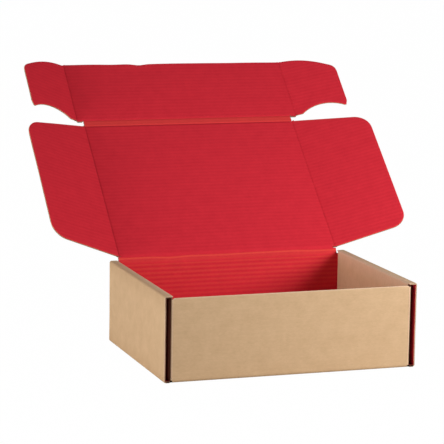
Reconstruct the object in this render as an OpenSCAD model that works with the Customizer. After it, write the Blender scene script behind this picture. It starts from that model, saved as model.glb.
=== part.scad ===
// Mailer box of single-wall corrugated board, folded from one blank and standing open.
// X runs along the front, Y from front to back, Z up. The origin is the middle of the underside.

/* [Tray] */
// Clear width between the inner side panels
inner_w = 309.8; // [220:1:400]
// Clear depth between the front and back walls
inner_d = 238; // [210:1:320]
// Clear height from the floor to the top of the side walls
inner_h = 105.5; // [90:0.5:150]

/* [Board] */
// Thickness of the corrugated board
board = 2.5; // [1.6:0.1:3.2]
// Inside radius of a folded edge
bend_in = 1; // [0.5:0.1:2]
// Air between two layers that lie together
layer_gap = 0.2; // [0.1:0.05:0.5]
// Air between the two sides of a crease that turns
crease_gap = 0.35; // [0.2:0.05:0.6]

/* [Side walls] */
// Room beside an ear in its slot
ear_play = 1.6; // [0.4:0.1:3]
// Air in front of an inner side panel
panel_front_gap = 0.3; // [0.3:0.1:2]
// Air behind an inner side panel
panel_back_gap = 2; // [0.3:0.1:4]
// Drop of the front and back walls below the top of the side walls
wall_drop = 3; // [2.6:0.1:6]
// Chamfer on the top corners of the front and back walls
corner_chamfer = 1.5; // [0.5:0.1:3]

/* [Corner flaps] */
// Length of a corner flap, from the wall it folds from
dust_len = 98; // [40:1:100]
// Drop of its top edge at the far end
dust_top_taper = 6; // [0:0.5:12]
// Rise of its bottom edge at the far end
dust_bottom_taper = 3; // [0:0.5:8]
// Step at its fold, by which the inner side panel pushes it outwards
dust_step = 0.9; // [0:0.1:3]
// Radius of its far corners
dust_r = 10; // [2:0.5:16]

/* [Lock tabs] */
// Width of a lock tab
tab_w = 36; // [15:1:60]
// Air around a lock tab in its slot
tab_gap = 0.3; // [0.2:0.05:0.6]
// Distance of a lock tab from the middle of its side
tab_offset = 60; // [35:1:75]

/* [Lid] */
// Air between the closed lid and the top of the side walls
lid_gap = 0.3; // [0.2:0.1:1]
// Air between a folded side flap and the inner side panel
flap_side_gap = 0.35; // [0.2:0.05:1]
// Air between a folded side flap and the floor of the tray
flap_floor_gap = 2; // [1:0.1:6]
// Start of a side flap, from the hinge crease
flap_start = 3; // [2:0.1:8]
// Length of a side flap past the end of the lid panel
flap_past_end = 0.8; // [0:0.1:1.5]
// Taper of a side flap's front edge at its tip
flap_front_taper = 28; // [5:1:50]
// Taper of a side flap's back edge at its tip
flap_back_taper = 6.5; // [1:0.5:25]
// Radius of a side flap's corners
flap_r = 22; // [5:1:35]

/* [Front closure] */
// Distance between the two front creases
strip_w = 10.4; // [7:0.1:16]
// Slope of the strip between them in the closed box
strip_dip = 20; // [15:1:28]
// Air between the closed tuck flap and the front wall
tuck_gap = 0.8; // [0.7:0.1:2]
// Air under the closed tuck flap
tuck_floor_gap = 1.1; // [0.5:0.1:5]
// Drop of the tuck flap's shoulders beside the strip
shoulder = 1; // [0:0.1:2]

/* [Ears] */
// Length of an ear
ear_len = 78; // [50:1:90]
// Air between a closed ear and the spine above it
ear_top_gap = 0.7; // [0.3:0.1:2]
// Room between a closed ear and the floor under it
ear_floor_gap = 0.5; // [0.3:0.1:2]
// Distance of the ear's shoulder from its crease
ear_shoulder = 35; // [25:1:45]
// Drop of the edge from the crease to the shoulder
ear_shoulder_drop = 2.2; // [0:0.1:4]
// Radius of the shoulder
ear_shoulder_r = 32; // [10:1:40]
// Slope at which the edge runs down from the shoulder
ear_slope = 36; // [25:1:42]
// Radius of the ear's outer corner
ear_corner_r = 14; // [6:1:20]
// Straight part of the ear's lower edge beside its crease
ear_root = 11; // [5:0.5:20]
// Depth of the hollow between that part and the tip
ear_hollow = 10.5; // [3:0.5:14]

/* [Pose] */
// Lean of the open lid past upright
lid_lean = 49; // [0:0.5:90]
// Fold of the left side flap towards the inside
left_flap_fold = 25.5; // [0:0.5:90]
// Fold of the right side flap towards the inside
right_flap_fold = 21; // [0:0.5:90]
// Fold of the tuck flap towards the inside
tuck_fold = 1.5; // [0:0.5:60]
// Fold of the left ear towards the inside
left_ear_fold = 28; // [0:0.5:90]
// Fold of the right ear towards the inside
right_ear_fold = 17; // [0:0.5:90]

/* [Hidden] */
$fn = 48;

kraft = [0.80, 0.66, 0.49];
red = [0.74, 0.12, 0.17];

// Tray, from the inside out
bend_r = bend_in + board;
outer_d = inner_d + 2 * board;
tray_h = inner_h + board;
half_d = outer_d / 2;
inner_x = inner_w / 2;
dust_x = inner_x + board + layer_gap;
corner_x = dust_x + board - dust_step;
slot_w = dust_step + board + ear_play;
side_x = corner_x + slot_w + board;
wall_h = tray_h - wall_drop;
corner_h = wall_h - corner_chamfer;
floor_seam = board + layer_gap;
bend_relief = 0.6;
weld = 0.1;

// Hinge and closing sizes
hinge_y = half_d - board / 2;
hinge_z = tray_h + lid_gap + board / 2;
crease_start = board / 2 + crease_gap;
lid_w = inner_w - 2 * flap_side_gap - board;
tuck_y = half_d + tuck_gap + board / 2;
lid_len = hinge_y + tuck_y - strip_w * cos(strip_dip);
flap_len = hinge_z - board - flap_floor_gap;
strip_inset = 0.4;
tuck_top_z = hinge_z - strip_w * sin(strip_dip);
tuck_len = tuck_top_z - tuck_floor_gap;
ear_x = corner_x + dust_step + (board + ear_play) / 2;
ear_start = tuck_top_z - (tray_h - board) + ear_top_gap;
ear_top = tuck_top_z - board - ear_floor_gap;
ear_tip_w = 2.5;
ear_tip_h = 7;

// Points of an arc, both ends included
function arc(centre, r, from, to, steps = 12) =
    [for (i = [0:steps]) centre + r * [cos(from + (to - from) * i / steps), sin(from + (to - from) * i / steps)]];

// Points that round the corner b of the path a, b, c
function rounded(a, b, c, r, steps = 10) =
    let (u = (a - b) / norm(a - b),
         v = (c - b) / norm(c - b),
         half = acos(u * v) / 2,
         mid = (u + v) / norm(u + v),
         centre = b + mid * r / sin(half),
         p = b + u * r / tan(half) - centre,
         q = b + v * r / tan(half) - centre,
         from = atan2(p[1], p[0]),
         turn = atan2(p[0] * q[1] - p[1] * q[0], p * q))
    arc(centre, r, from, from + turn, steps);

// One quarter of a folded edge, seen along the fold, with both ends run a little into the flat board
module bend(centre, quarter) {
    translate(centre) rotate(90 * quarter) {
        intersection() {
            difference() {
                circle(r = bend_r);
                circle(r = bend_in);
            }
            square(bend_r + 1);
        }
        strip(bend_in, -weld, bend_r, 0);
        strip(-weld, bend_in, 0, bend_r);
    }
}

// A flat strip, seen on edge
module strip(x0, y0, x1, y1) {
    translate([x0, y0]) square([x1 - x0, y1 - y0]);
}

// Carries an outline in X and Z along Y
module along_y(y0, y1) {
    translate([0, y1, 0])
        rotate([90, 0, 0])
        linear_extrude(y1 - y0) children();
}

// Carries an outline in Y and Z along X
module along_x(x0, x1) {
    translate([x0, 0, 0])
        rotate([90, 0, 90])
        linear_extrude(x1 - x0) children();
}

// A board cut to an outline, centred on its own thickness
module sheet() {
    translate([0, 0, -board / 2]) linear_extrude(board) children();
}

// The round back of a crease along X
module crease_x(half_len) {
    translate([-half_len, 0, 0])
        rotate([0, 90, 0])
        cylinder(d = board, h = 2 * half_len);
}

// The round back of a crease along Y
module crease_y(from, to) {
    translate([0, from, 0])
        rotate([-90, 0, 0])
        cylinder(d = board, h = to - from);
}

// Floor, reaching the front and back only where the side walls fold up from it
module floor_sheet() {
    fold_x = side_x - bend_r;
    fold_y = half_d - bend_r;
    linear_extrude(board) {
        strip(-fold_x, -fold_y, fold_x, fold_y);
        for (side = [-1, 1])
            strip(min(side * (corner_x + bend_relief), side * fold_x), -half_d,
                  max(side * (corner_x + bend_relief), side * fold_x), half_d);
    }
}

// Outer side panel with the folds at its foot and head, and the spine on top
module outer_side() {
    along_y(-half_d, half_d) {
        bend([side_x - bend_r, bend_r], 3);
        strip(side_x - board, bend_r, side_x, tray_h - bend_r);
        bend([side_x - bend_r, tray_h - bend_r], 0);
        strip(inner_x + bend_r, tray_h - board, side_x - bend_r, tray_h);
    }
}

// Inner side panel, rolled over the corner flaps and locked into the floor
module inner_side() {
    front_y = -half_d + bend_r + dust_step + panel_front_gap;
    along_y(front_y, half_d - board - panel_back_gap) {
        bend([inner_x + bend_r, tray_h - bend_r], 1);
        strip(inner_x, floor_seam, inner_x + board, tray_h - bend_r);
    }
    tab_nose = board;
    for (y = [-tab_offset, tab_offset])
        along_x(inner_x, inner_x + board)
            polygon([[y - tab_w / 2, floor_seam + board],
                     [y - tab_w / 2, tab_nose],
                     [y - tab_w / 2 + tab_nose, layer_gap],
                     [y + tab_w / 2 - tab_nose, layer_gap],
                     [y + tab_w / 2, tab_nose],
                     [y + tab_w / 2, floor_seam + board]]);
}

// Slots in the floor for the lock tabs
module tab_slots() {
    for (y = [-tab_offset, tab_offset])
        translate([inner_x - tab_gap, y - tab_w / 2 - tab_gap, -1])
            cube([board + 2 * tab_gap, tab_w + 2 * tab_gap, board + 2]);
}

// Corner flap at the front right, folded back from the front wall and stepped outwards
module corner_flap() {
    fold_y = -half_d + bend_r;
    step_y = fold_y + dust_step;
    end_y = -half_d + dust_len;
    foot = floor_seam + layer_gap;
    a = [step_y - weld, foot];
    b = [end_y, foot + dust_bottom_taper];
    c = [end_y, corner_h - dust_top_taper];
    d = [step_y - weld, corner_h];
    translate([0, 0, bend_r])
        linear_extrude(corner_h - bend_r) {
            bend([corner_x - bend_r, fold_y], 3);
            polygon([[corner_x - board, fold_y],
                     [corner_x, fold_y],
                     [dust_x + board, step_y],
                     [dust_x, step_y]]);
        }
    along_x(dust_x, dust_x + board)
        polygon(concat([a], rounded(a, b, c, dust_r), rounded(b, c, d, dust_r), [d]));
}

// Front wall, plain from the floor to its top edge
module front_wall() {
    along_x(-corner_x + bend_relief, corner_x - bend_relief)
        bend([-half_d + bend_r, bend_r], 2);
    half = corner_x - bend_r;
    translate([0, -half_d + board, 0])
        rotate([90, 0, 0])
        linear_extrude(board)
        polygon([[-half, bend_r],
                 [half, bend_r],
                 [half, corner_h],
                 [half - corner_chamfer, wall_h],
                 [-half + corner_chamfer, wall_h],
                 [-half, corner_h]]);
}

// Back wall, with the part between the spines carried up to the lid's crease
module back_wall() {
    mirror([0, 1, 0]) front_wall();
    neck = lid_w / 2 - strip_inset;
    translate([0, half_d, 0])
        rotate([90, 0, 0])
        linear_extrude(board)
        strip(-neck, tray_h / 2, neck, hinge_z);
    translate([0, hinge_y, hinge_z]) crease_x(neck);
}

// Tray, from the floor to the lid's crease, in one folded sheet
module tray() {
    color(kraft) {
        difference() {
            floor_sheet();
            tab_slots();
            mirror([1, 0, 0]) tab_slots();
        }
        front_wall();
        back_wall();
        for (m = [0, 1])
            mirror([m, 0, 0]) {
                outer_side();
                inner_side();
                corner_flap();
                mirror([0, 1, 0]) corner_flap();
            }
    }
}

// Places on the open lid: X along the crease, Y away from it, Z to the printed side
module at_lid() {
    translate([0, hinge_y, hinge_z])
        rotate([90 - lid_lean, 0, 0]) children();
}

module at_strip() {
    at_lid() translate([0, lid_len, 0]) children();
}

module at_tuck() {
    at_strip() translate([0, strip_w, 0])
        rotate([tuck_fold, 0, 0]) children();
}

// Turns what is drawn for the right-hand side about its crease
module turned(side, x, fold) {
    translate([side * x, 0, 0])
        rotate([0, -side * fold, 0])
        mirror([side < 0 ? 1 : 0, 0, 0]) children();
}

module lid_panel() {
    half = lid_w / 2;
    color(red) at_lid() {
        sheet() strip(-half, crease_start, half, lid_len);
        translate([0, lid_len, 0]) crease_x(half);
        for (side = [-1, 1])
            translate([side * half, 0, 0]) crease_y(crease_start, lid_len);
    }
}

// Side flap, tapered at both ends and rounded at its outer corners
module side_flap(side, fold) {
    a = [crease_start, flap_start];
    b = [flap_len, flap_start + flap_back_taper];
    c = [flap_len, lid_len + flap_past_end - flap_front_taper];
    d = [crease_start, lid_len + flap_past_end];
    color(red) at_lid() turned(side, lid_w / 2, fold)
        sheet() polygon(concat([a], rounded(a, b, c, flap_r), rounded(b, c, d, flap_r), [d]));
}

module left_side_flap() {
    side_flap(-1, left_flap_fold);
}

module right_side_flap() {
    side_flap(1, right_flap_fold);
}

// Narrow strip between the two front creases
module front_strip() {
    half = lid_w / 2 - strip_inset;
    color(red) at_strip() {
        sheet() strip(-half, crease_start, half, strip_w);
        translate([0, strip_w, 0]) crease_x(half);
    }
}

// Tuck flap, wider than the lid so that its ears meet their slots
module tuck_flap() {
    inside = lid_w / 2 + 1;
    color(red) at_tuck() {
        sheet() {
            strip(-ear_x, crease_start, ear_x, tuck_len);
            strip(-ear_x, -shoulder, -inside, crease_start);
            strip(inside, -shoulder, ear_x, crease_start);
        }
        for (side = [-1, 1])
            translate([side * ear_x, 0, 0]) crease_y(-shoulder, tuck_len);
    }
}

// Ear outline: shoulder, sloping run, round corner, straight end, tip and hollow
function ear_points() =
    let (a = [crease_start, ear_top],
         b = [ear_shoulder, ear_top - ear_shoulder_drop],
         c = [ear_len, b[1] - (ear_len - ear_shoulder) * tan(ear_slope)],
         d = [ear_len, ear_start + ear_tip_h],
         tip = [ear_len - ear_tip_w, ear_start],
         reach = (ear_len - 2 * ear_tip_w - ear_root) / 2,
         hollow_r = (reach ^ 2 + ear_hollow ^ 2) / (2 * ear_hollow),
         hollow = [ear_root + reach, ear_start + ear_hollow - hollow_r],
         sweep = asin(reach / hollow_r))
    concat([a],
           rounded(a, b, c, ear_shoulder_r),
           rounded(b, c, d, ear_corner_r),
           [d, tip],
           arc(hollow, hollow_r, 90 - sweep, 90 + sweep, 20),
           [[crease_start, ear_start]]);

module ear(side, fold) {
    color(red) at_tuck() turned(side, ear_x, fold)
        sheet() polygon(ear_points());
}

module left_ear() {
    ear(-1, left_ear_fold);
}

module right_ear() {
    ear(1, right_ear_fold);
}

tray();
lid_panel();
left_side_flap();
right_side_flap();
front_strip();
tuck_flap();
left_ear();
right_ear();
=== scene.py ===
"""Looks of an open mailer box of corrugated board: kraft outside, printed plain red inside.

Every panel is a real three-layer board: a printed liner, a fluted core and a kraft liner, so its
cut edges show the flutes. All lengths below are in millimetres, apart from those of the materials,
the floor, the lights and the camera, and add_piece turns them into metres.
"""
import math

import bmesh
import bpy
import numpy as np
from mathutils import Matrix, Vector


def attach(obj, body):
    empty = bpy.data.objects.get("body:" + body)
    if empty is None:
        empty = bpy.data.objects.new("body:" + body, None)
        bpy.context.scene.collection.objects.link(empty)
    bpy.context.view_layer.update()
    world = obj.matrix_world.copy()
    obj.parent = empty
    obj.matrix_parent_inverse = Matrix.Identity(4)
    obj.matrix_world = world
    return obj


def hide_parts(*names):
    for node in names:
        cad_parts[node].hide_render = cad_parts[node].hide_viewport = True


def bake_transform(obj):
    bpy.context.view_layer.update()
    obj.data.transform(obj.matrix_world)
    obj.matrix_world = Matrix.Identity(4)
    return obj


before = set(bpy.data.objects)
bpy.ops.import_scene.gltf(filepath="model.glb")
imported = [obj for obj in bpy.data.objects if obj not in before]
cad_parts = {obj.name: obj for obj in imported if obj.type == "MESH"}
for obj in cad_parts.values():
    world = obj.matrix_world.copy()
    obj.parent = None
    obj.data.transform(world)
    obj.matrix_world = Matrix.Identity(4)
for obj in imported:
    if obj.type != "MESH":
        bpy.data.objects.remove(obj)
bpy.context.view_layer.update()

# Sizes of the board and the tray
BOARD = 2.5
LINER = 0.32
CORE = 0.28
FLUTE_PITCH = 5.9
FOLD_R = 1.4
HALF_DEPTH = 121.5
TRAY_HEIGHT = 108.0
WALL_HEIGHT = 105.0
WALL_CHAMFER = 1.5
INNER_X = 154.9
CORNER_X = 158.4
SIDE_X = 166.7
BEND_R = FOLD_R + BOARD / 2
PANEL_FOOT = 2.7
PANEL_FRONT = -116.8
PANEL_BACK = 117.0
TAB_OFFSET = 60.0
TAB_HALF = 18.0
TAB_GAP = 0.3
DUST_STEP = 1.7
DUST_LENGTH = 98.0
DUST_FOOT = 2.9
DUST_FALL = 6.0
DUST_RISE = 3.0
DUST_CORNER_R = 10.0
DUST_MIDDLE = 50.0

# Sizes of the lid and what hangs on it
HINGE = np.array([0.0, 120.25, 109.55])
LID_HALF = 153.3
LID_LENGTH = 234.027
STRIP_WIDTH = 10.4
STRIP_HALF = 152.9
HINGE_HALF = 154.3
TUCK_LENGTH = 104.893
TUCK_NOTCH = 0.6
SHOULDER = 1.0
EAR_X = 162.15
EAR_START = 1.193
EAR_TOP = 102.993
EAR_LENGTH = 78.0
EAR_ROOT = 11.0
EAR_TIP = 2.5
EAR_SLANT = 7.0
EAR_HOLLOW = 10.5
EAR_CURVE = 0.005
EAR_BEND = 60
EAR_SLOPE = 0.62
EAR_CORNER_R = 16.0
EAR_MIDDLE = 50.0
FLAP_LENGTH = 105.05
FLAP_START = 3.4
FLAP_END = LID_LENGTH + 0.8
FLAP_FALL = 28.0
FLAP_FRONT_R = 28.0
FLAP_RISE = 6.2
FLAP_BACK_R = 22.0
FLAP_MIDDLE = 100.0
LID_LEAN = math.radians(49.0)
TUCK_FOLD = math.radians(1.5)
FLAP_FOLD = {-1: math.radians(25.5), 1: math.radians(21.0)}
EAR_FOLD = {-1: math.radians(28.0), 1: math.radians(17.0)}

# From the kraft side's flute tip to the middle of the core: a cut edge there shows an open flute
EDGE_PHASE = FLUTE_PITCH / 4
# How far a crease reaches to each side of its line and how much it is crushed; HINGE is the lid's
REACH = 3.0
CREASE_CRUSH = 0.5
HINGE_REACH = 8.0
HINGE_CRUSH = 0.35
# Painted light on the strip between the two front creases: how much paler it is drawn
STRIP_PAINTED_LIGHT = 0.5
# How dark the left (-1) and right (1) creases of flaps and ears are: a crushed crease line with
# painted shade, stronger on the left; and how strong the painted shade is on the faces in the ear
# slots
CREASE_SHADE = {-1: 0.65, 1: 0.3}
EAR_SHADE = {-1: 0.4, 1: 0.2}
SLOT_SHADE = {-1: 0.5, 1: 0.0}
# Width of a cut edge's pale rim, width of its crushed rim, and how much of the thickness that loses
RIM_PALE = 0.6
RIM_WIDTH = 0.9
RIM_CRUSH = 0.55
# How far inside a cut edge the extra column lies that carries the crushed rim
RIM_STEP = 0.8
# How worn the rims of a side flap or an ear are: first column, last column, low edge and high edge
WORN_RIMS = {-1: (0.8, 0, 0.8, 0.8), 1: (0, 0.8, 0.8, 0.8)}
# How far the panels bow to their printed side
WALL_BOW = 0.35
INNER_BOW = 0.25
LID_BOW = 0.9
FLAP_BOW = 0.5
TUCK_BOW = 0.7
EAR_BOW = 0.6
# Material slots of every piece, in the order in which add_piece fills them
PRINT, KRAFT, EDGE, PAPER = range(4)


# ---------------------------------------------------------------- meshes
def add_piece(name, points, faces, blank, marks, finish, body):
    """A mesh of whole arrays: points in mm, faces, place and marks per point, finish per face."""
    mesh = bpy.data.meshes.new(name)
    mesh.from_pydata((points * 0.001).tolist(), [], faces.tolist())
    loops = np.empty(len(mesh.loops), np.int32)
    mesh.loops.foreach_get("vertex_index", loops)
    layer = mesh.uv_layers.new(name="blank")
    layer.data.foreach_set("uv", (blank[loops] * 0.01).astype(np.float32).ravel())
    for label, values in zip(("crease_and_painted_shade_mark", "wear_and_painted_light_mark", "deep"), marks.T):
        mark = mesh.attributes.new(label, "FLOAT", "POINT")
        mark.data.foreach_set("value", values.astype(np.float32))
    for material in (red_print, kraft_face, cut_edge, core_with_painted_shade):
        mesh.materials.append(material)
    mesh.polygons.foreach_set("material_index", finish.astype(np.int32))
    mesh.update()
    tidy_mesh(mesh)
    piece = bpy.data.objects.new(name, mesh)
    bpy.context.scene.collection.objects.link(piece)
    if isinstance(body, str):
        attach(piece, body)
    else:
        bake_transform(piece)
    return piece


def tidy_mesh(mesh):
    """Joins points that fall together, drops faces without area and smooths all but cut edges."""
    work = bmesh.new()
    work.from_mesh(mesh)
    bmesh.ops.remove_doubles(work, verts=work.verts, dist=2e-6)
    bmesh.ops.dissolve_degenerate(work, edges=work.edges, dist=1e-7)
    work.to_mesh(mesh)
    work.free()
    mesh.shade_smooth()
    mesh.set_sharp_from_angle(angle=math.radians(38))


def layer_of_board(top, bottom, kept, finishes):
    """A closed sheet between two grids of points: the kept cells and a wall at each open edge."""
    rows, cols = top.shape[:2]
    index = np.arange(rows * cols).reshape(rows, cols)
    a, b, c, d = index[:-1, :-1], index[:-1, 1:], index[1:, 1:], index[1:, :-1]
    upper = np.stack([a, b, c, d], -1)[kept]
    under = upper[:, ::-1] + rows * cols
    padded = np.pad(kept, 1)
    walls = []
    for row, col, start, end in ((0, 1, a, b), (1, 2, b, c), (2, 1, c, d), (1, 0, d, a)):
        neighbour = padded[row:row + rows - 1, col:col + cols - 1]
        open_edge = kept & ~neighbour
        p, q = start[open_edge], end[open_edge]
        walls.append(np.stack([q, p, p + rows * cols, q + rows * cols], -1))
    walls = np.concatenate(walls)
    faces = np.concatenate([upper, under, walls])
    finish = np.concatenate([np.full(len(upper), finishes[0]), np.full(len(under), finishes[1]),
                             np.full(len(walls), finishes[2])])
    points = np.concatenate([top.reshape(-1, 3), bottom.reshape(-1, 3)])
    return points, faces, finish


def board(surface, across, along, low=None, high=None, holes=(), ripple=(0.02, 0.01), phase=0.0,
          cut=(0, 0, 0, 0), deep=(0, 0, 0)):
    """A corrugated board: two liners and a fluted core, worked out on a grid.

    surface(u, v) gives the middle of the board, its normal to the printed side, the place on the
    blank, the thickness, the crease mark and the pale mark, for u along the flutes and v across
    them. The crease mark darkens creases and is partly a crushed crease line and partly painted
    shade; the pale mark is partly wear and partly painted light. Rows of constant v are cut off at
    low(u) and high(u), so the flutes stay straight and the outline is exact. The outer faces of the
    liners lie half the thickness to each side, less ripple * (1 - cos(2 pi (v - phase) / pitch))
    where no crease mark presses them flat. The core's middle lies at sin(2 pi (v - phase) / pitch)
    times the half thickness less the liner and half of the core. Where cut says so, for the first
    and last column and the low and high edge, the rim is worn pale by
    exp(-(distance / RIM_PALE) squared) and crushed thinner by RIM_CRUSH * exp(-(distance /
    RIM_WIDTH) squared). deep is painted shade on the print, the core and the kraft where they lie
    in a dark slot, as a number or a function of u.
    """
    out = []
    rim_columns = [along[0] + RIM_STEP * bool(cut[0]), along[-1] - RIM_STEP * bool(cut[1])]
    along = np.unique(np.concatenate([along, rim_columns]))
    hole_rows = [row for hole in holes for row in hole[2:]]
    core_rows = np.arange(across[0], across[-1], FLUTE_PITCH / 8)
    core_rows = np.unique(np.concatenate([core_rows, [across[-1]], hole_rows]))
    for layer, painted_shade_amount in zip(("print", "core", "kraft"), deep):
        rows = core_rows if layer == "core" else across
        u, v = np.meshgrid(along, rows)
        if low is not None:
            v = np.clip(v, low(u), high(u))
        still = np.abs(v[1:] - v[:-1]) < 1e-6
        kept = ~(still[:, :-1] & still[:, 1:])
        middle_u = (u[1:, 1:] + u[:-1, :-1]) / 2
        middle_v = (v[1:, 1:] + v[:-1, :-1]) / 2
        for u0, u1, v0, v1 in holes:
            kept &= ~((middle_u > u0) & (middle_u < u1) & (middle_v > v0) & (middle_v < v1))
        mid, normal, blank, thick, crease_and_painted_shade, wear_and_painted_light = surface(u, v)
        sides = ((cut[0], u - along[0]), (cut[1], along[-1] - u),
                 (cut[2], v - v.min(0)), (cut[3], v.max(0) - v))
        for strength, distance in sides:
            wear_and_painted_light = np.maximum(wear_and_painted_light, strength * near(distance, RIM_PALE))
            thick = thick * (1 - RIM_CRUSH * strength * near(distance, RIM_WIDTH))
        wave = 2 * math.pi * (blank[..., 1] - phase) / FLUTE_PITCH
        half = thick / 2
        unpressed = np.clip(1 - crease_and_painted_shade, 0, 1)
        if layer == "print":
            outer = half + ripple[0] * unpressed * (np.cos(wave) - 1)
            inner = half - LINER
            finishes = (PRINT, PAPER, EDGE)
        elif layer == "core":
            centre = (half - LINER - CORE / 2) * np.sin(wave)
            outer, inner = centre + CORE / 2, centre - CORE / 2
            finishes = (PAPER, PAPER, EDGE)
        else:
            outer = -half + LINER
            inner = -half + ripple[1] * unpressed * (1 - np.cos(wave))
            finishes = (PAPER, KRAFT, EDGE)
        top = mid + normal * outer[..., None]
        bottom = mid + normal * inner[..., None]
        points, faces, finish = layer_of_board(top, bottom, kept, finishes)
        step_u = mid[0, 1] - mid[0, 0]
        step_v = mid[len(rows) // 2, 0] - mid[0, 0]
        if np.dot(np.cross(step_u, step_v), normal[0, 0]) < 0:
            faces = faces[:, ::-1]
        # Painted shade of the slots: the deep mark, which also weakens the pale mark
        dark = painted_shade_amount(u) if callable(painted_shade_amount) else painted_shade_amount + 0 * u
        marks = np.stack([crease_and_painted_shade, wear_and_painted_light * (1 - dark), dark], -1).reshape(-1, 3)
        out.append((points, faces, finish, np.concatenate([blank.reshape(-1, 2)] * 2),
                    np.concatenate([marks] * 2)))
    return out


def piece_of(name, layers, body):
    """Joins the layers of one or more boards into one piece."""
    points, faces, finish, blank, marks = zip(*layers)
    starts = np.cumsum([0] + [len(part) for part in points])
    faces = np.concatenate([part + start for part, start in zip(faces, starts)])
    points, finish, blank, marks = map(np.concatenate, (points, finish, blank, marks))
    return add_piece(name, points, faces, blank, marks, finish, body)


def rows_between(start, end, step=FLUTE_PITCH / 6):
    """Rows across the flutes, evenly spaced from start to end."""
    return np.linspace(start, end, max(2, int(round((end - start) / step)) + 1))


def columns(*stops, step=18.0):
    """Columns along the flutes, through every stop, with gaps of at most one step."""
    parts = [np.linspace(a, b, max(2, int(math.ceil((b - a) / step)) + 1))
             for a, b in zip(stops, stops[1:])]
    return np.unique(np.round(np.concatenate(parts), 6))


def corner_columns(start, width, count):
    """Columns that crowd together towards the end, where a rounded corner is steep."""
    return start + width * np.sin(np.linspace(0, math.pi / 2, count))


def near(distance, width):
    """A bell of height 1 at distance 0: exp(-(distance / width) squared)."""
    return np.exp(-(distance / width) ** 2)


def fade(distance, width):
    """A ramp from 0 at distance 0 to 1 at the width: distance / width, held between 0 and 1."""
    return np.clip(distance / width, 0, 1)


def unevenness(x, y, amount):
    """Gentle bowing to the printed side, by 0 to amount: crossed sine waves of 60 to 195 mm."""
    return amount * (0.5 + 0.25 * np.sin(x / 31 + 0.7) * np.cos(y / 23 + 0.4)
                     + 0.17 * np.sin(x / 17 - y / 29 + 1.9) + 0.08 * np.cos(x / 9.5 + y / 13))


# ---------------------------------------------------------------- flat panels and creases
class Plane:
    """A panel's own axes: x along the flutes, y across them, z towards the printed side."""

    def __init__(self, origin, x_axis, y_axis):
        self.origin, self.x, self.y = (np.asarray(a, float) for a in (origin, x_axis, y_axis))
        self.z = np.cross(self.x, self.y)

    def at(self, x, y, z=0.0):
        return (self.origin + np.asarray(x)[..., None] * self.x + np.asarray(y)[..., None] * self.y
                + np.asarray(z)[..., None] * self.z)

    def folded_side(self, side, x, angle):
        """The plane beyond a crease along y at x, folded towards the printed side."""
        turn = side * angle
        x_axis = math.cos(turn) * self.x + math.sin(turn) * self.z
        return Plane(self.at(x, 0.0), x_axis, self.y)

    def folded_end(self, y, angle):
        """The plane beyond a crease along x at y, folded towards the printed side."""
        y_axis = math.cos(angle) * self.y + math.sin(angle) * self.z
        return Plane(self.at(0.0, y), self.x, y_axis)


def flat(plane, blank_x, blank_y, bow=0.0, bow_edges=None, wear_and_painted_light=0.0):
    """Surface of a flat panel, bowed by unevenness(u, v, bow) * bow_edges(u, v)."""
    def surface(u, v):
        lift = unevenness(u + blank_x, v + blank_y, bow)
        if bow_edges:
            lift = lift * bow_edges(u, v)
        normal = np.broadcast_to(plane.z, u.shape + (3,))
        blank = np.stack([u + blank_x, v + blank_y], -1)
        ones = np.ones(u.shape)
        return plane.at(u, v, lift), normal, blank, BOARD * ones, 0 * ones, wear_and_painted_light * ones
    return surface


def crease_curve(t, start, corner, end, sag=0.0):
    """Middle line of a crease, with its tangent.

    (1-t)^2 start + 2t(1-t) corner + t^2 end - 16 t^2 (1-t)^2 sag
    """
    t = t[..., None]
    point = (1 - t) ** 2 * start + 2 * t * (1 - t) * corner + t ** 2 * end
    point = point - 16 * t ** 2 * (1 - t) ** 2 * sag
    tangent = 2 * (1 - t) * (corner - start) + 2 * t * (end - corner)
    tangent = tangent - 32 * t * (1 - t) * (1 - 2 * t) * sag
    return point, tangent / np.linalg.norm(tangent, axis=-1, keepdims=True)


def crease_along_y(near_plane, far_plane, side, x, blank_y, shade):
    """Surface of a crease across the flutes, from u = -REACH on one plane to +REACH on the next."""
    def surface(u, v):
        start = near_plane.at(np.full_like(v, x - side * REACH), v)
        corner = near_plane.at(np.full_like(v, x), v)
        end = far_plane.at(np.full_like(v, side * REACH), v)
        t = (u + REACH) / (2 * REACH)
        point, tangent = crease_curve(t, start, corner, end)
        normal = np.cross(side * tangent, near_plane.y)
        crease_and_painted_shade = near(u, 1.0)
        blank = np.stack([x + side * u, v + blank_y], -1)
        return point, normal, blank, BOARD * (1 - CREASE_CRUSH * crease_and_painted_shade), shade * crease_and_painted_shade, 0 * u
    return surface


def crease_along_x(near_plane, far_plane, y, blank_y, marks, reach=REACH, crush=CREASE_CRUSH,
                   droop=None):
    """Surface of a crease along the flutes, from v = -reach on one plane to +reach on the next."""
    def surface(u, v):
        start = near_plane.at(u, np.full_like(u, y - reach))
        corner = near_plane.at(u, np.full_like(u, y))
        end = far_plane.at(u, np.full_like(u, reach))
        t = (v + reach) / (2 * reach)
        sag = 0.0 if droop is None else 0.5 * droop(u)[..., None] * near_plane.y
        point, tangent = crease_curve(t, start, corner, end, sag)
        normal = np.cross(near_plane.x, tangent)
        blank = np.stack([u, v + blank_y], -1)
        crease_and_painted_shade, wear_and_painted_light = marks(v)
        return point, normal, blank, BOARD * (1 - crush * near(v, 1.3)), crease_and_painted_shade, wear_and_painted_light
    return surface


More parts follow.
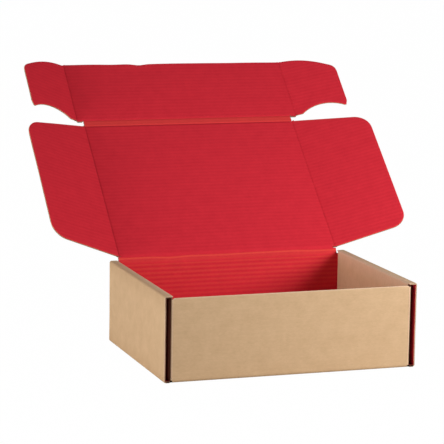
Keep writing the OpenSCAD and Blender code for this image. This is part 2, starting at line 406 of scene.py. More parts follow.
def rounded_run(u, points, radii):
    """Height of a line through points, each corner rounded by the tangent arc of its radius."""
    px, py = np.array(points, float).T
    height = np.interp(u, px, py)
    for i, r in enumerate(radii, 1):
        if not r:
            continue
        before = np.array([px[i - 1] - px[i], py[i - 1] - py[i]])
        after = np.array([px[i + 1] - px[i], py[i + 1] - py[i]])
        before /= np.linalg.norm(before)
        after /= np.linalg.norm(after)
        half = math.acos(float(np.clip(before @ after, -1, 1))) / 2
        middle = (before + after) / np.linalg.norm(before + after)
        centre = np.array([px[i], py[i]]) + middle * r / math.sin(half)
        a = px[i] + before[0] * r / math.tan(half)
        b = px[i] + after[0] * r / math.tan(half)
        inside = (u >= min(a, b)) & (u <= max(a, b))
        rise = np.sqrt(np.clip(r ** 2 - (u - centre[0]) ** 2, 0, None))
        height = np.where(inside, centre[1] + np.sign(py[i] - centre[1]) * rise, height)
    return height


# ---------------------------------------------------------------- folded paths
class FoldedPath:
    """A board's middle line seen on edge: straight runs and folds, read by the length along it."""

    def __init__(self, start, heading, runs):
        point, angle = np.array(start, float), math.radians(heading)
        samples = [(0.0, *point, angle)]
        length = 0.0
        self.stops = [0.0]
        for kind, value in runs:
            if kind == "line":
                point = point + value * np.array([math.cos(angle), math.sin(angle)])
                length += value
                samples.append((length, *point, angle))
            else:
                turn = math.radians(value)
                radius = FOLD_R * math.copysign(1, turn)
                centre = point + radius * np.array([-math.sin(angle), math.cos(angle)])
                for part in np.linspace(0, 1, 9)[1:]:
                    now = angle + turn * part
                    arm = radius * np.array([math.sin(now), -math.cos(now)])
                    samples.append((length + abs(turn) * FOLD_R * part, *(centre + arm), now))
                point = centre + arm
                angle += turn
                length += abs(turn) * FOLD_R
            self.stops.append(length)
        self.table = np.array(samples).T

    def __call__(self, s):
        """Place and normal (a quarter turn to the left of the heading) at length s."""
        length, x, y, angle = self.table
        heading = np.interp(s, length, angle)
        place = np.interp(s, length, x), np.interp(s, length, y)
        return place, (-np.sin(heading), np.cos(heading))


# ---------------------------------------------------------------- materials
def srgb(r, g, b):
    """A colour as the screen shows it, turned into linear light."""
    c = np.array([r, g, b]) / 255
    return (*np.where(c <= 0.04045, c / 12.92, ((c + 0.055) / 1.055) ** 2.4).tolist(), 1.0)


class Nodes:
    """A short way to place and link shader nodes in a tree."""

    def __init__(self, tree):
        self.tree = tree

    def add(self, kind, inputs=(), **settings):
        node = self.tree.nodes.new(kind)
        for key, value in settings.items():
            setattr(node, key, value)
        for socket, value in dict(inputs).items():
            if isinstance(value, bpy.types.NodeSocket):
                self.tree.links.new(value, node.inputs[socket])
            else:
                node.inputs[socket].default_value = value
        return node

    def math(self, operation, a, b=0.0, c=0.0):
        return self.add("ShaderNodeMath", {0: a, 1: b, 2: c}, operation=operation).outputs[0]

    def mix(self, factor, a, b):
        return self.add("ShaderNodeMix", {0: factor, 6: a, 7: b}, data_type="RGBA").outputs[2]

    def span(self, value, low, high, to_low=0.0, to_high=1.0):
        node = self.add("ShaderNodeMapRange", {0: value, 1: low, 2: high, 3: to_low, 4: to_high})
        return node.outputs[0]


def node_group(name, inputs, outputs, build):
    """A shader node group with named inputs and outputs, filled by build."""
    group = bpy.data.node_groups.new(name, "ShaderNodeTree")
    for label, kind in inputs:
        group.interface.new_socket(label, in_out="INPUT", socket_type=kind)
    for label, kind in outputs:
        group.interface.new_socket(label, in_out="OUTPUT", socket_type=kind)
    nodes = Nodes(group)
    build(nodes, nodes.add("NodeGroupInput"), nodes.add("NodeGroupOutput"))
    return group


def build_fibres(n, given, result):
    """Paper fibres: noise drawn out along the flutes, with fine grain and a few dark specks."""
    place = given.outputs["Place"]
    stretched = n.add("ShaderNodeMapping", {"Vector": place, "Scale": (0.35, 1.0, 1.0)}).outputs[0]
    fibre = n.add("ShaderNodeTexNoise",
                  {"Vector": stretched, "Scale": 62.0, "Detail": 5.0, "Roughness": 0.65})
    cloud = n.add("ShaderNodeTexNoise",
                  {"Vector": place, "Scale": 6.0, "Detail": 4.0, "Roughness": 0.6})
    speck = n.add("ShaderNodeTexVoronoi", {"Vector": stretched, "Scale": 46.0})
    dark = n.span(speck.outputs["Distance"], 0.05, 0.16, 1.0, 0.0)
    rare = n.add("ShaderNodeTexWhiteNoise", {"Vector": speck.outputs["Position"]},
                 noise_dimensions="3D")
    dark = n.math("MULTIPLY", dark, n.span(rare.outputs["Value"], 0.80, 0.84))
    n.tree.links.new(fibre.outputs["Fac"], result.inputs["Fibre"])
    n.tree.links.new(cloud.outputs["Fac"], result.inputs["Cloud"])
    n.tree.links.new(dark, result.inputs["Speck"])


def build_flutes(n, given, result):
    """Flute lines: a cosine across the flutes, broken up by noise that varies slowly along them.

    The place on the blank comes in units of 100 mm.
    """
    place = given.outputs["Place"]
    axes = n.add("ShaderNodeSeparateXYZ", {0: place})
    drift = n.add("ShaderNodeTexNoise", {"Vector": place, "Scale": 5.0, "Detail": 2.0})
    across = n.math("MULTIPLY", axes.outputs["Y"], 100 * 2 * math.pi / FLUTE_PITCH)
    across = n.math("ADD", across, n.span(drift.outputs["Fac"], 0.0, 1.0, -0.9, 0.9))
    wave = n.span(n.math("COSINE", across), -1.0, 1.0)
    stretched = n.add("ShaderNodeMapping", {"Vector": place, "Scale": (0.10, 1.0, 1.0)}).outputs[0]
    streak = n.add("ShaderNodeTexNoise", {"Vector": stretched, "Scale": 14.0, "Detail": 3.0})
    strength = n.span(streak.outputs["Fac"], 0.3, 0.7, 0.35, 1.0)
    shade = n.math("MULTIPLY", n.math("SUBTRACT", wave, 0.5), strength)
    n.tree.links.new(n.math("ADD", shade, 0.5), result.inputs["Line"])


fibre_group = node_group("Paper fibres", [("Place", "NodeSocketVector")],
                         [(label, "NodeSocketFloat") for label in ("Fibre", "Cloud", "Speck")],
                         build_fibres)
flute_group = node_group("Flute lines", [("Place", "NodeSocketVector")],
                         [("Line", "NodeSocketFloat")], build_flutes)
# Painted shade in the ear slots: the dark colour that the deep mark pulls faces towards, and how far
SLOT_PAINTED_SHADE_COLOUR = srgb(52, 8, 8)
SLOT_PAINTED_SHADE_STRENGTH = 0.85
SPECK_STRENGTH = 0.35
FIBRE_CONTRAST = 0.55
ROUGHNESS = 0.82
ROUGHNESS_SPREAD = 0.15
SPECULAR = 0.12


def paper_material(name, deep, light, line_contrast, cloud_contrast, speck_colour, score_shade,
                   wear_and_painted_light_colour, bump_height):
    """A paper surface: colour between deep and light by flute line, cloud and fibre, with specks.

    score_shade is the colour and strength of a darkened crease, partly painted shade; the argument
    after it is the same for a place worn pale or given painted light.
    """
    material = bpy.data.materials.new(name)
    material.use_nodes = True
    n = Nodes(material.node_tree)
    shader = material.node_tree.nodes["Principled BSDF"]
    place = n.add("ShaderNodeUVMap", uv_map="blank").outputs[0]
    fibres = n.add("ShaderNodeGroup", node_tree=fibre_group)
    n.tree.links.new(place, fibres.inputs["Place"])
    flutes = n.add("ShaderNodeGroup", node_tree=flute_group)
    n.tree.links.new(place, flutes.inputs["Place"])
    tone = 0.5
    for pattern, contrast in ((flutes.outputs["Line"], line_contrast),
                              (fibres.outputs["Cloud"], cloud_contrast),
                              (fibres.outputs["Fibre"], FIBRE_CONTRAST)):
        tone = n.math("MULTIPLY_ADD", n.math("SUBTRACT", pattern, 0.5), contrast, tone)
    colour = n.mix(tone, deep, light)
    colour = n.mix(n.math("MULTIPLY", fibres.outputs["Speck"], SPECK_STRENGTH), colour, speck_colour)
    # Crease mark: darker creases, partly a crushed crease line and partly painted shade
    crease_and_painted_shade = n.add("ShaderNodeAttribute", attribute_name="crease_and_painted_shade_mark")
    colour = n.mix(n.math("MULTIPLY", crease_and_painted_shade.outputs["Fac"], score_shade[1]), colour, score_shade[0])
    # Pale mark: worn rims, and painted light on creases, the spine, the strip, corners and the back
    # wall's flute crests
    wear_and_painted_light = n.add("ShaderNodeAttribute", attribute_name="wear_and_painted_light_mark")
    patches = n.span(fibres.outputs["Fibre"], 0.3, 0.6, 0.7, 1.0)
    patchy = n.math("MULTIPLY", wear_and_painted_light.outputs["Fac"], patches)
    colour = n.mix(n.math("MULTIPLY", patchy, wear_and_painted_light_colour[1]), colour, wear_and_painted_light_colour[0])
    # Painted shade: faces in the ear slots are darkened by the deep mark
    painted_slot_shade = n.add("ShaderNodeAttribute", attribute_name="deep")
    colour = n.mix(n.math("MULTIPLY", painted_slot_shade.outputs["Fac"], SLOT_PAINTED_SHADE_STRENGTH), colour, SLOT_PAINTED_SHADE_COLOUR)
    n.tree.links.new(colour, shader.inputs["Base Color"])
    rough = n.math("MULTIPLY_ADD", fibres.outputs["Fibre"], ROUGHNESS_SPREAD, ROUGHNESS)
    n.tree.links.new(rough, shader.inputs["Roughness"])
    shader.inputs["Specular IOR Level"].default_value = SPECULAR
    height = n.math("MULTIPLY_ADD", fibres.outputs["Fibre"], 0.5, fibres.outputs["Speck"])
    bump = n.add("ShaderNodeBump", {"Height": height, "Distance": bump_height, "Strength": 0.6})
    n.tree.links.new(bump.outputs[0], shader.inputs["Normal"])
    return material


# Last in each material: the pale colour of worn places and of painted light
red_print = paper_material(
    "red print", srgb(204, 34, 50), srgb(238, 54, 68), 0.22, 0.5, srgb(150, 22, 34),
    (srgb(140, 12, 26), 0.55), (srgb(242, 96, 70), 0.6), 0.00010)
kraft_face = paper_material(
    "kraft face", srgb(188, 152, 114), srgb(226, 192, 152), 0.05, 0.55, srgb(150, 112, 76),
    (srgb(164, 128, 92), 0.6), (srgb(250, 220, 198), 0.7), 0.00015)
cut_edge = paper_material(
    "cut board edge", srgb(180, 142, 106), srgb(222, 186, 148), 0.0, 0.4, srgb(140, 100, 66),
    (srgb(160, 120, 84), 0.2), (srgb(232, 198, 166), 0.5), 0.0002)
# The core is drawn darker than its paper, as painted shade for the hollows of the flutes
core_with_painted_shade = paper_material(
    "fluted core", srgb(92, 62, 42), srgb(132, 94, 66), 0.0, 0.4, srgb(84, 56, 38),
    (srgb(92, 62, 42), 0.2), (srgb(132, 94, 66), 0.2), 0.0002)

# ---------------------------------------------------------------- tray
BACK_FOOT = HALF_DEPTH - BEND_R
SIDE_FOOT = SIDE_X - BEND_R
WALL_HALF = CORNER_X - BEND_R


def floor_boards():
    """Floor: flat, with the four slots for the lock tabs, and reaching out to the folds."""
    plane = Plane((0, 0, BOARD / 2), (1, 0, 0), (0, 1, 0))
    slot_x = (INNER_X - TAB_GAP, INNER_X + BOARD + TAB_GAP)
    slot_y = (TAB_OFFSET - TAB_HALF - TAB_GAP, TAB_OFFSET + TAB_HALF + TAB_GAP)
    corner = CORNER_X + 0.6
    reach = lambda u: np.where(np.abs(u) > corner - 0.05, HALF_DEPTH, BACK_FOOT)
    stops = [*slot_x, corner - 0.1, corner, SIDE_FOOT]
    along = columns(*(-x for x in stops[::-1]), *stops, step=24)
    across = np.unique(np.concatenate([rows_between(-HALF_DEPTH, HALF_DEPTH),
                                       [-BACK_FOOT, BACK_FOOT, *slot_y, *(-y for y in slot_y)]]))
    holes = [(*sorted(sx * x for x in slot_x), *sorted(sy * y for y in slot_y))
             for sx in (-1, 1) for sy in (-1, 1)]
    # Painted shade on the floor's ends under the ear slots
    slot_painted_shade = lambda u: np.where(np.abs(u) > corner - 0.05, 0.9, 0.0)
    return board(flat(plane, 0, 0), across, along, lambda u: -reach(u), reach, holes,
                 ripple=(0.03, 0.006), deep=(slot_painted_shade, slot_painted_shade, 0))


def end_wall_boards(side):
    """Front (-1) or back (1) wall with the fold at its foot: a path in y and z, carried along x."""
    top = WALL_HEIGHT - BEND_R
    path = FoldedPath((BACK_FOOT, BOARD / 2), 0, [("fold", 90), ("line", HINGE[2] - BEND_R)])
    fold = path.stops[1]
    phase = side * (BACK_FOOT + fold + top + EDGE_PHASE)

    def surface(u, v):
        (y, z), (ny, nz) = path(v)
        lift = unevenness(u, v, WALL_BOW) * fade(v - fold, 30) * fade(fold + top - v, 25)
        mid = np.stack([u, side * (y + ny * lift), z + nz * lift], -1)
        normal = np.stack([np.zeros_like(u), side * ny, nz], -1)
        blank = np.stack([u, side * (BACK_FOOT + v)], -1)
        crease_and_painted_shade = near(v - fold / 2, 1.6) * 0.5
        # Painted highlight along the flute crests of the back wall, growing towards its top
        crest = 0.5 + 0.5 * np.cos(2 * math.pi * (blank[..., 1] - phase) / FLUTE_PITCH)
        wear_and_painted_light = (side > 0) * 0.45 * crest * fade(v - fold - 25, 60)
        return mid, normal, blank, np.full(u.shape, BOARD), crease_and_painted_shade, wear_and_painted_light

    def high(u):
        x = np.abs(u)
        end = fold + top - np.clip(x - (WALL_HALF - WALL_CHAMFER), 0, WALL_CHAMFER)
        if side > 0:
            end = np.where(x < HINGE_HALF + 0.03, fold + HINGE[2] - HINGE_REACH - BEND_R, end)
        return end
    stops = [-WALL_HALF, -WALL_HALF + WALL_CHAMFER]
    if side > 0:
        stops += [-HINGE_HALF - 0.06, -HINGE_HALF]
    stops = sorted(stops + [-s for s in stops])
    across = np.concatenate([np.linspace(0, fold, 8), rows_between(fold, fold + top + 2)])
    return board(surface, np.unique(across), columns(*stops), np.zeros_like, high,
                 ripple=(0.09, 0.006), phase=phase, cut=(0, 0, 0, 0.9 if side < 0 else 0))


def side_wall_boards(side):
    """Outer panel, spine and inner panel with its lock tabs: a path in x and z, carried along y."""
    rise = TRAY_HEIGHT - 2 * BEND_R
    spine = SIDE_FOOT - (INNER_X + BEND_R)
    drop = TRAY_HEIGHT - BEND_R - PANEL_FOOT
    path = FoldedPath((SIDE_FOOT, BOARD / 2), 0,
                      [run for length in (rise, spine, drop)
                       for run in (("fold", 90), ("line", length))])
    s = path.stops

    def surface(u, v):
        (x, z), (nx, nz) = path(u)
        outer = fade(u - s[1], 30) * fade(s[2] - u, 18)
        inner = fade(u - s[5], 18) * fade(s[6] - u, 30)
        lift = (unevenness(u * side, v, WALL_BOW) * outer
                + unevenness(u + 40, v * side, INNER_BOW) * inner)
        mid = np.stack([side * (x + nx * lift), v, z + nz * lift], -1)
        normal = np.stack([side * nx, np.zeros_like(u), nz], -1)
        blank = np.stack([side * (SIDE_FOOT + u), v], -1)
        # Painted shade along the outer top crease, and painted light along the inner crease and over
        # the spine
        crease_and_painted_shade = 0.5 * near(u - (s[0] + s[1]) / 2, 1.6) + 0.7 * near(u - (s[2] + s[3]) / 2, 1.5)
        wear_and_painted_light = 0.55 * near(u - (s[4] + s[5]) / 2, 1.3) + 0.55 * near(u - (s[3] + s[4]) / 2, 2.8)
        return mid, normal, blank, np.full(u.shape, BOARD), crease_and_painted_shade, wear_and_painted_light

    step = s[4] + 1.2
    front = lambda u: np.where(u > step - 0.01, PANEL_FRONT, -HALF_DEPTH)
    back = lambda u: np.where(u > step - 0.01, PANEL_BACK, HALF_DEPTH)
    folds = [np.linspace(a, b, 7) for a, b in ((s[0], s[1]), (s[2], s[3]), (s[4], s[5]))]
    runs = [columns(s[1], s[2]), columns(s[3], s[4]), columns(s[5], s[6])]
    along = np.unique(np.round(np.concatenate([*runs, [step], *folds]), 6))
    rim_rows = [0.4 - HALF_DEPTH, HALF_DEPTH - 0.4]
    across = np.concatenate([rows_between(-HALF_DEPTH, HALF_DEPTH), rim_rows])
    # The print and core of a side wall get the painted shade of the ear slots, by SLOT_SHADE
    layers = board(surface, np.unique(across), along, front, back, ripple=(0.03, 0.006),
                   phase=-HALF_DEPTH - EDGE_PHASE, cut=(0, 0, 0.9, 0.9),
                   deep=(SLOT_SHADE[side], SLOT_SHADE[side], 0))
    for y in (-TAB_OFFSET, TAB_OFFSET):
        tab = Plane((side * (INNER_X + BOARD / 2), y, PANEL_FOOT), (0, 0, -1), (0, 1, 0))
        if side < 0:
            tab.z = -tab.z
        half = lambda u: TAB_HALF - np.clip(u, 0, BOARD)
        layers += board(flat(tab, SIDE_FOOT + s[6], y), rows_between(-TAB_HALF, TAB_HALF),
                        np.linspace(0, BOARD, 4), lambda u: -half(u), half)
    return layers


def corner_flap_boards(side, end):
    """Corner flap, with its fold and a step outwards: a path in x and y, carried along z."""
    length = DUST_LENGTH - BEND_R - DUST_STEP
    path = FoldedPath((WALL_HALF, -HALF_DEPTH + BOARD / 2), 0,
                      [("fold", 90), ("line", length + DUST_STEP)])
    s = path.stops
    high = WALL_HEIGHT - WALL_CHAMFER
    end_point = (s[2] + 0.01, DUST_MIDDLE)

    def surface(u, v):
        (x, y), (nx, ny) = path(u)
        x = x + DUST_STEP * fade(u - s[1], DUST_STEP)
        mid = np.stack([side * x, -end * y, v], -1)
        normal = np.stack([side * nx, -end * ny, np.zeros_like(u)], -1)
        blank = np.stack([side * (WALL_HALF + u), end * (BACK_FOOT + v)], -1)
        # Painted highlight on the rounded corner where the flap turns away from its wall
        return mid, normal, blank, np.full(u.shape, BOARD), 0 * u, 0.45 * near(u - 0.1 * s[1], 0.7)

    def top(u):
        points = [(0, high), (s[1] + 1, high), (s[2], high - DUST_FALL), end_point]
        return rounded_run(u, points, [0, DUST_CORNER_R])

    def foot(u):
        points = [(0, BEND_R), (s[1], BEND_R), (s[1] + 0.1, DUST_FOOT),
                  (s[2], DUST_FOOT + DUST_RISE), end_point]
        return rounded_run(u, points, [0, 0, DUST_CORNER_R])

    along = np.concatenate([np.linspace(0, s[1], 8), [s[1] + 0.1],
                            columns(s[1] + DUST_STEP, s[2] - 11), corner_columns(s[2] - 10, 10, 6)])
    # Painted shade on the flap's kraft face past the middle of its fold, in the ear slot, and on its
    # print and core
    inside = lambda u: fade(u / s[1] - 0.35, 0.35)
    return board(surface, rows_between(DUST_FOOT, high), np.unique(np.round(along, 6)), foot, top,
                 deep=(SLOT_SHADE[side], 0.6, inside))


tray_pieces = [piece_of("floor", floor_boards(), "tray"),
               piece_of("front_wall", end_wall_boards(-1), "tray"),
               piece_of("back_wall", end_wall_boards(1), "tray")]
for side, label in ((-1, "left"), (1, "right")):
    layers = side_wall_boards(side)
    tray_pieces.append(piece_of(label + "_side_wall", layers, "tray"))
    for end, place in ((-1, "front"), (1, "back")):
        layers = corner_flap_boards(side, end)
        tray_pieces.append(piece_of(f"{label}_{place}_corner_flap", layers, "tray"))
for piece in tray_pieces:
    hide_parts("tray")

# ---------------------------------------------------------------- lid
LID_BLANK = BACK_FOOT + BEND_R + HINGE[2]
angle = math.pi / 2 - LID_LEAN
wall_plane = Plane(HINGE, (1, 0, 0), (0, 0, 1))
lid_plane = Plane(HINGE, (1, 0, 0), (0, math.cos(angle), math.sin(angle)))
strip_plane = lid_plane.folded_end(LID_LENGTH, 0.0)
tuck_plane = strip_plane.folded_end(STRIP_WIDTH, TUCK_FOLD)
TUCK_BLANK = LID_BLANK + LID_LENGTH + STRIP_WIDTH
UP = np.array([0.0, 0.0, 1.0])
LID_INNER = LID_HALF - REACH


def hinge_droop(x):
    """The crushed crease wanders: low places near x = -82 and -12, and beyond 108."""
    return 2.6 * near(x + 82, 17) + 1.3 * near(x + 12, 34) + 2.4 / (1 + np.exp(-(x - 108) / 4.5))


def stepped_columns(half, step):
    """Columns from -half to half, with a close pair where the outline steps beside LID_INNER."""
    stops = [LID_INNER, LID_INNER + 0.1, half]
    return columns(*(-x for x in stops[::-1]), *stops, step=step)


def hinge_boards():
    """The lid's crease: from the back wall to the lid, with a wandering crushed line."""
    # A dark line just below the hinge, a pale line on it, and a wider band of painted light on the
    # back wall's top
    marks = lambda v: (0.25 * near(v + 2.4, 0.9), near(v - 0.3, 1.0) + 0.35 * near(v + 3.5, 3.0))
    surface = crease_along_x(wall_plane, lid_plane, 0.0, LID_BLANK, marks, HINGE_REACH, HINGE_CRUSH,
                             hinge_droop)
    high = lambda u: np.where(np.abs(u) > LID_INNER + 0.05, FLAP_START - 0.3, HINGE_REACH)
    return board(surface, np.linspace(-HINGE_REACH, HINGE_REACH, 25),
                 stepped_columns(HINGE_HALF, 4.5), lambda u: np.full_like(u, -HINGE_REACH), high)


piece_of("lid_crease", hinge_boards(),
         ("tray", "lid", HINGE - UP * HINGE_REACH, HINGE + lid_plane.y * HINGE_REACH))

lid_edges = lambda u, v: (fade(LID_INNER - np.abs(u), 30) * fade(v - HINGE_REACH, 30)
                          * fade(LID_LENGTH - REACH - v, 30))
lid_panel = piece_of("lid", board(flat(lid_plane, 0, LID_BLANK, LID_BOW, lid_edges),
                                  rows_between(HINGE_REACH, LID_LENGTH - REACH),
                                  columns(-LID_INNER, LID_INNER)),
                     "lid")
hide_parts("lid_panel")


def flap_outline(u):
    """Front edge of a side flap: it falls to a rounded corner."""
    points = [(0, FLAP_END), (FLAP_LENGTH, FLAP_END - FLAP_FALL), (FLAP_LENGTH + 0.01, FLAP_MIDDLE)]
    return rounded_run(u, points, [FLAP_FRONT_R])


def flap_foot(u):
    """Back edge of a side flap: it rises to a rounded corner."""
    points = [(0, FLAP_START), (FLAP_LENGTH, FLAP_START + FLAP_RISE),
              (FLAP_LENGTH + 0.01, FLAP_MIDDLE)]
    return rounded_run(u, points, [FLAP_BACK_R])


def side_flap(side, label):
    """A lid side flap and the crease that joins it to the lid."""
    plane = lid_plane.folded_side(side, side * LID_HALF, FLAP_FOLD[side])
    corner = FLAP_LENGTH - 30
    along = np.concatenate([columns(REACH, corner), corner_columns(corner, 30, 16)[1:]])
    edges = lambda u, v: fade(np.abs(u) - REACH, 40) * fade(v - FLAP_START - 12, 60)
    panel = piece_of(label + "_flap",
                     board(flat(plane, side * LID_HALF, LID_BLANK, FLAP_BOW, edges),
                           rows_between(FLAP_START, FLAP_END), np.sort(side * along),
                           lambda u: flap_foot(np.abs(u)), lambda u: flap_outline(np.abs(u)),
                           cut=WORN_RIMS[side]),
                     label + "_side_flap")
    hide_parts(label + "_side_flap")
    surface = crease_along_y(lid_plane, plane, side, side * LID_HALF, LID_BLANK, CREASE_SHADE[side])
    top = lambda u: np.where(u > 0.01, FLAP_END, LID_LENGTH)
    crease = board(surface, rows_between(FLAP_START, FLAP_END), np.linspace(-REACH, REACH, 11),
                   lambda u: np.full_like(u, FLAP_START), top)
    middle = lid_plane.at(side * LID_HALF, FLAP_MIDDLE)
    piece_of(label + "_flap_crease", crease,
             ("lid", label + "_side_flap",
              middle - side * REACH * lid_plane.x, middle + side * REACH * plane.x))


side_flap(-1, "left")
side_flap(1, "right")

# ---------------------------------------------------------------- front strip, tuck flap and ears
def first_front_crease():
    """Crease between the lid and the front strip."""
    # A dark crease line, and the strip's painted light starting at the crease
    marks = lambda v: (0.9 * near(v + 0.6, 0.8), STRIP_PAINTED_LIGHT * np.clip(v + 0.2, 0, 1))
    surface = crease_along_x(lid_plane, strip_plane, LID_LENGTH, LID_BLANK + LID_LENGTH, marks)
    low = lambda u: np.where(np.abs(u) > LID_INNER + 0.05, 0.3, -REACH)
    return board(surface, np.linspace(-REACH, REACH, 15), stepped_columns(STRIP_HALF, 9), low,
                 lambda u: np.full_like(u, REACH))


def second_front_crease():
    """Crease between the front strip and the tuck flap."""
    # A faint dark crease line, and the strip's painted light ending at the crease
    marks = lambda v: (0.25 * near(v - 0.6, 0.7), STRIP_PAINTED_LIGHT * np.clip(0.6 - v, 0, 1))
    surface = crease_along_x(strip_plane, tuck_plane, STRIP_WIDTH, TUCK_BLANK, marks)
    return board(surface, np.linspace(-REACH, REACH, 15), columns(-STRIP_HALF, STRIP_HALF, step=9))


piece_of("front_crease_1", first_front_crease(),
         ("lid", "front_strip",
          lid_plane.at(0.0, LID_LENGTH - REACH), strip_plane.at(0.0, REACH)))
piece_of("front_crease_2", second_front_crease(),
         ("front_strip", "tuck_flap",
          strip_plane.at(0.0, STRIP_WIDTH - REACH), tuck_plane.at(0.0, REACH)))
# The strip is drawn paler, as painted light
strip_piece = piece_of("strip", board(flat(strip_plane, 0, LID_BLANK + LID_LENGTH, wear_and_painted_light=STRIP_PAINTED_LIGHT),
                                      rows_between(REACH, STRIP_WIDTH - REACH, 0.7),
                                      columns(-STRIP_HALF, STRIP_HALF)),
                       "front_strip")
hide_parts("front_strip")


def tuck_top(u):
    """Top edge of the tuck flap: it sags a little to the right and has two small dents."""
    return TUCK_LENGTH - 0.4 - 0.004 * (u + EAR_X) - 2.2 * near(u + 51, 10) - 0.6 * near(u + 92, 16)


def tuck_foot(u):
    """Foot of the tuck flap: above the crease, and down to it or past it at the shoulders."""
    beside = np.where(np.abs(u) > LID_HALF + 0.95, -SHOULDER, TUCK_NOTCH)
    return np.where(np.abs(u) > STRIP_HALF + 0.03, beside, REACH)


tuck_side = EAR_X - REACH
tuck_stops = [STRIP_HALF, STRIP_HALF + 0.06, LID_HALF + 0.9, LID_HALF + 1, tuck_side]
tuck_stops = [-x for x in tuck_stops[::-1]] + tuck_stops
tuck_edges = lambda u, v: fade(tuck_side - np.abs(u), 30) * fade(v - REACH, 30)
tuck_rows = np.unique(np.concatenate([[-SHOULDER, TUCK_NOTCH, REACH],
                                      rows_between(-SHOULDER, TUCK_LENGTH)]))
tuck_boards = board(flat(tuck_plane, 0, TUCK_BLANK, TUCK_BOW, tuck_edges), tuck_rows,
                    columns(*tuck_stops, step=5), tuck_foot, tuck_top, cut=(0, 0, 0, 0.5))
tuck_piece = piece_of("tuck", tuck_boards, "tuck_flap")
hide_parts("tuck_flap")


def ear_top(u):
    """Upper edge of an ear: a fall of EAR_CURVE * u squared, a slope and a rounded corner."""
    crown = [(x, EAR_TOP - EAR_CURVE * x * x) for x in range(0, EAR_BEND + 4, 4)]
    end = EAR_TOP - EAR_CURVE * EAR_BEND ** 2 - EAR_SLOPE * (EAR_LENGTH - EAR_BEND)
    radii = [0] * (len(crown) - 1) + [EAR_CORNER_R]
    return rounded_run(u, crown + [(EAR_LENGTH, end), (EAR_LENGTH + 0.01, 20)], radii)


def ear_foot(u):
    """Lower edge of an ear: a straight root, a round hollow and a narrow tip with a slanted end."""
    reach = (EAR_LENGTH - 2 * EAR_TIP - EAR_ROOT) / 2
    radius = (reach ** 2 + EAR_HOLLOW ** 2) / (2 * EAR_HOLLOW)
    arch = np.sqrt(np.clip(radius ** 2 - (u - EAR_ROOT - reach) ** 2, 0, None))
    hollow = EAR_START + EAR_HOLLOW - radius + arch
    end = EAR_START + fade(u - (EAR_LENGTH - EAR_TIP), EAR_TIP) * EAR_SLANT
    return np.where((u > EAR_ROOT) & (u < EAR_ROOT + 2 * reach), np.maximum(hollow, EAR_START), end)


def ear(side, label):
    """An ear and the crease that joins it to the tuck flap."""
    plane = tuck_plane.folded_side(side, side * EAR_X, EAR_FOLD[side])
    corner = EAR_LENGTH - 15
    along = np.unique(np.concatenate([
        np.linspace(REACH, EAR_ROOT, 3), np.linspace(EAR_ROOT, corner, 22),
        corner_columns(corner, 15, 12), [EAR_LENGTH - 2 * EAR_TIP, EAR_LENGTH - EAR_TIP]]))
    edges = lambda u, v: fade(np.abs(u) - REACH, 30)
    panel = piece_of(label + "_tuck_ear",
                     board(flat(plane, side * EAR_X, TUCK_BLANK, EAR_BOW, edges),
                           rows_between(EAR_START, EAR_TOP), np.sort(side * along),
                           lambda u: ear_foot(np.abs(u)), lambda u: ear_top(np.abs(u)),
                           ripple=(0.0, 0.005), cut=WORN_RIMS[side]),
                     label + "_ear")
    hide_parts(label + "_ear")
    surface = crease_along_y(tuck_plane, plane, side, side * EAR_X, TUCK_BLANK, EAR_SHADE[side])
    low = lambda u: np.where(u > 0.01, EAR_START, -SHOULDER)
    top = lambda u: np.where(u > 0.01, ear_top(u), tuck_top(side * EAR_X))
    crease = board(surface, rows_between(-SHOULDER, TUCK_LENGTH), np.linspace(-REACH, REACH, 11),
                   low, top)
    middle = tuck_plane.at(side * EAR_X, EAR_MIDDLE)
    piece_of(label + "_ear_crease", crease,
             ("tuck_flap", label + "_ear",
              middle - side * REACH * tuck_plane.x, middle + side * REACH * plane.x))


ear(-1, "left")
ear(1, "right")

# ---------------------------------------------------------------- floor, light and camera
scene = bpy.context.scene
LIGHT_TARGET = Vector((0.0, 0.0, 0.15))
# How much of the floor that the camera sees is plain white; the rest shows the shadow
FLOOR_WHITE = 0.995


def white_floor():
    """A pale floor that the camera sees as white, with the object's shadow still faintly on it."""
    mesh = bpy.data.meshes.new("studio_floor")
    size = 40.0
    corners = [(-size, -size, 0), (size, -size, 0), (size, size, 0), (-size, size, 0)]
    mesh.from_pydata(corners, [], [(0, 1, 2, 3)])
    floor = bpy.data.objects.new("studio_floor", mesh)
    scene.collection.objects.link(floor)
    material = bpy.data.materials.new("white floor")
    material.use_nodes = True
    n = Nodes(material.node_tree)
    shader = material.node_tree.nodes["Principled BSDF"]
    shader.inputs["Base Color"].default_value = (0.7, 0.7, 0.7, 1)
    shader.inputs["Roughness"].default_value = 0.9
    glow = n.add("ShaderNodeEmission", {"Color": (1, 1, 1, 1), "Strength": 1.0})
    path = n.add("ShaderNodeLightPath")
    seen = n.math("MAXIMUM", path.outputs["Is Camera Ray"], path.outputs["Is Glossy Ray"])
    share = n.math("MULTIPLY", seen, FLOOR_WHITE)
    mixed = n.add("ShaderNodeMixShader", {0: share, 1: shader.outputs[0], 2: glow.outputs[0]})
    out = material.node_tree.nodes["Material Output"]
    n.tree.links.new(mixed.outputs[0], out.inputs["Surface"])
    mesh.materials.append(material)


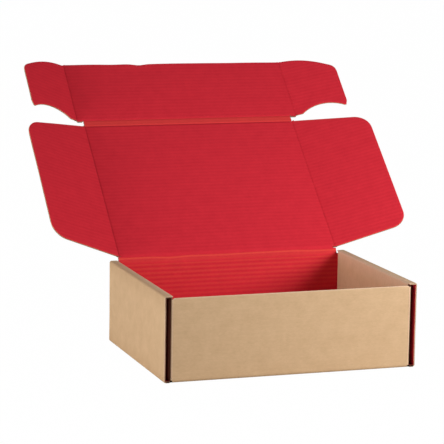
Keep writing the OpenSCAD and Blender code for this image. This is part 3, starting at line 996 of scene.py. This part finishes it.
def soft_light(name, place, size, power):
    """A square softbox at place, turned to LIGHT_TARGET."""
    lamp = bpy.data.lights.new(name, "AREA")
    lamp.shape, lamp.size, lamp.energy = "SQUARE", size, power
    holder = bpy.data.objects.new(name, lamp)
    holder.location = place
    holder.rotation_euler = (LIGHT_TARGET - Vector(place)).to_track_quat("-Z", "Y").to_euler()
    scene.collection.objects.link(holder)


def white_world(strength):
    """White behind everything for the camera, and an even grey sky for the light."""
    world = bpy.data.worlds.new("studio")
    world.use_nodes = True
    scene.world = world
    n = Nodes(world.node_tree)
    background = world.node_tree.nodes["Background"]
    background.inputs["Color"].default_value = (1, 1, 1, 1)
    path = n.add("ShaderNodeLightPath")
    seen = n.math("MAXIMUM", path.outputs["Is Camera Ray"], path.outputs["Is Transmission Ray"])
    n.tree.links.new(n.span(seen, 0.0, 1.0, strength, 1.0), background.inputs["Strength"])


def add_camera():
    """The photograph's view: 19.1 degrees to the left of the front, 9.5 degrees up, 171 mm lens."""
    place = (-0.9207125, -2.505512, 0.6205887)
    azimuth, elevation, roll = 0.3334454, 0.1665886, 0.0154582
    focal_pixels, frame_pixels, sensor = 2111.551, 444, 36.0
    camera = bpy.data.cameras.new("camera")
    camera.sensor_width = sensor
    camera.lens = focal_pixels / frame_pixels * sensor
    camera.clip_start, camera.clip_end = 0.1, 20.0
    back = Vector((-math.sin(azimuth) * math.cos(elevation),
                   -math.cos(azimuth) * math.cos(elevation), math.sin(elevation)))
    right = Vector((0, 0, 1)).cross(back).normalized()
    up = back.cross(right)
    turned_right = math.cos(roll) * right + math.sin(roll) * up
    turned_up = -math.sin(roll) * right + math.cos(roll) * up
    holder = bpy.data.objects.new("camera", camera)
    turn = Matrix((turned_right, turned_up, back)).transposed()
    holder.matrix_world = Matrix.Translation(place) @ turn.to_4x4()
    scene.collection.objects.link(holder)
    scene.camera = holder


white_floor()
white_world(strength=0.05)
soft_light("key", (0.8, -0.8, 0.52), size=0.5, power=13.6)
soft_light("left", (-1.6, -0.18, 0.48), size=0.8, power=17.6)
soft_light("back", (-0.3, 2.4, 1.6), size=1.4, power=20.0)
add_camera()

scene.view_settings.view_transform = "Standard"
